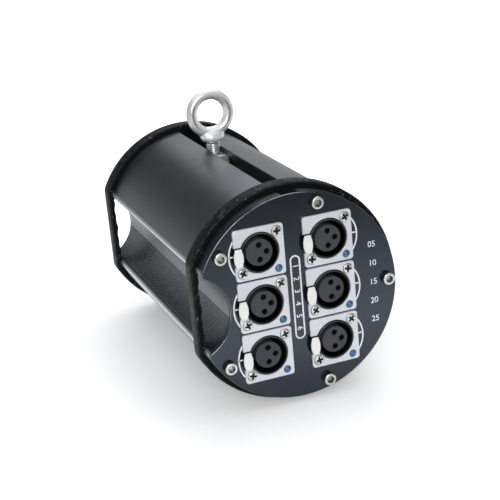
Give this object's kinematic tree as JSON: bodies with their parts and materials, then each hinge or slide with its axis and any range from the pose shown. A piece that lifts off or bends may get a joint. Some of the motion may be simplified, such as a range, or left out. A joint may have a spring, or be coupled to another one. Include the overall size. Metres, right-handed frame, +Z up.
{
  "type": "dmx splitter",
  "caption": "Drum-shaped lighting signal splitter with a hand flute, rubber bumpers, latching three-pole outputs on its face and an eye bolt that slides in a slot along the top.",
  "frame": {"origin": "on the surface that the bumpers stand on, below the middle of the part's box", "axes": "+Y runs along the drum from the output panel to the rear panel, +Z is up through the eye bolt, and the hand flute is on the -X side"},
  "size_m": [0.1088, 0.1928, 0.1435],
  "materials": {
    "anodised_body": "black anodised, satin",
    "panel_coat": "blue-black anodised, fine satin",
    "bumper_rubber": "dull black moulded rubber",
    "bright_steel": "bright zinc plated or stainless",
    "socket_plate": "satin nickel grey, slightly lilac",
    "latch_metal": "pale satin",
    "black_moulding": "fine moulded black",
    "insulator": "dark grey moulded, matt",
    "blue_lens": "translucent blue, glossy",
    "circuit_board": "green solder mask",
    "module_case": "plain folded sheet"
  },
  "bodies": {
    "base": {"housing_extrusion": "anodised_body", "front_panel": "panel_coat", "rear_panel": "panel_coat", "front_bumper": "bumper_rubber", "rear_bumper": "bumper_rubber", "front_panel_screw_1": "bright_steel", "front_panel_screw_2": "bright_steel", "front_panel_screw_3": "bright_steel", "front_panel_screw_4": "bright_steel", "front_panel_screw_5": "bright_steel", "rear_panel_screw_1": "bright_steel", "rear_panel_screw_2": "bright_steel", "rear_panel_screw_3": "bright_steel", "rear_panel_screw_4": "bright_steel", "rear_panel_screw_5": "bright_steel", "output_1_flange": "socket_plate", "output_1_shell": "black_moulding", "output_1_insert": "insulator", "output_1_led": "blue_lens", "output_2_flange": "socket_plate", "output_2_shell": "black_moulding", "output_2_insert": "insulator", "output_2_led": "blue_lens", "output_3_flange": "socket_plate", "output_3_shell": "black_moulding", "output_3_insert": "insulator", "output_3_led": "blue_lens", "output_4_flange": "socket_plate", "output_4_shell": "black_moulding", "output_4_insert": "insulator", "output_4_led": "blue_lens", "output_5_flange": "socket_plate", "output_5_shell": "black_moulding", "output_5_insert": "insulator", "output_5_led": "blue_lens", "output_6_flange": "socket_plate", "output_6_shell": "black_moulding", "output_6_insert": "insulator", "output_6_led": "blue_lens", "input_flange": "socket_plate", "input_shell": "black_moulding", "input_pins": "insulator", "link_flange": "socket_plate", "link_shell": "black_moulding", "link_insert": "insulator", "power_inlet": "black_moulding", "fuse_holder": "black_moulding", "output_board": "circuit_board", "main_board": "circuit_board", "power_module": "module_case"},
    "nut": {"slot_nut": "bright_steel"},
    "eye": {"eye_bolt": "bright_steel"},
    "link_latch": {"link_latch": "latch_metal"},
    "fuse_cap": {"fuse_cap": "black_moulding"},
    "output_1_latch": {"output_1_latch": "latch_metal"},
    "output_2_latch": {"output_2_latch": "latch_metal"},
    "output_3_latch": {"output_3_latch": "latch_metal"},
    "output_4_latch": {"output_4_latch": "latch_metal"},
    "output_5_latch": {"output_5_latch": "latch_metal"},
    "output_6_latch": {"output_6_latch": "latch_metal"}
  },
  "joints": [
    {"name": "nut_slide", "type": "slide", "parent": "base", "child": "nut", "axis": [0, 1, 0], "range_m": [-0.091, 0.0474]},
    {"name": "eye_turn", "type": "hinge", "parent": "nut", "child": "eye", "pos_m": [-0.00259, 0.0196, 0.10691], "axis": [0, 0, 1], "range_deg": [-180, 180]},
    {"name": "output_1_latch_press", "type": "slide", "parent": "base", "child": "output_1_latch", "axis": [0, 1, 0], "range_m": [0, 0.0015], "stiffness_N_per_m": 600},
    {"name": "output_2_latch_press", "type": "slide", "parent": "base", "child": "output_2_latch", "axis": [0, 1, 0], "range_m": [0, 0.0015], "stiffness_N_per_m": 600},
    {"name": "output_3_latch_press", "type": "slide", "parent": "base", "child": "output_3_latch", "axis": [0, 1, 0], "range_m": [0, 0.0015], "stiffness_N_per_m": 600},
    {"name": "output_4_latch_press", "type": "slide", "parent": "base", "child": "output_4_latch", "axis": [0, 1, 0], "range_m": [0, 0.0015], "stiffness_N_per_m": 600},
    {"name": "output_5_latch_press", "type": "slide", "parent": "base", "child": "output_5_latch", "axis": [0, 1, 0], "range_m": [0, 0.0015], "stiffness_N_per_m": 600},
    {"name": "output_6_latch_press", "type": "slide", "parent": "base", "child": "output_6_latch", "axis": [0, 1, 0], "range_m": [0, 0.0015], "stiffness_N_per_m": 600},
    {"name": "link_latch_press", "type": "slide", "parent": "base", "child": "link_latch", "axis": [0, -1, 0], "range_m": [0, 0.0015], "stiffness_N_per_m": 600},
    {"name": "fuse_cap_turn", "type": "hinge", "parent": "base", "child": "fuse_cap", "pos_m": [0.01941, 0.0885, 0.0437], "axis": [0, 1, 0], "range_deg": [0, 45]}
  ]
}
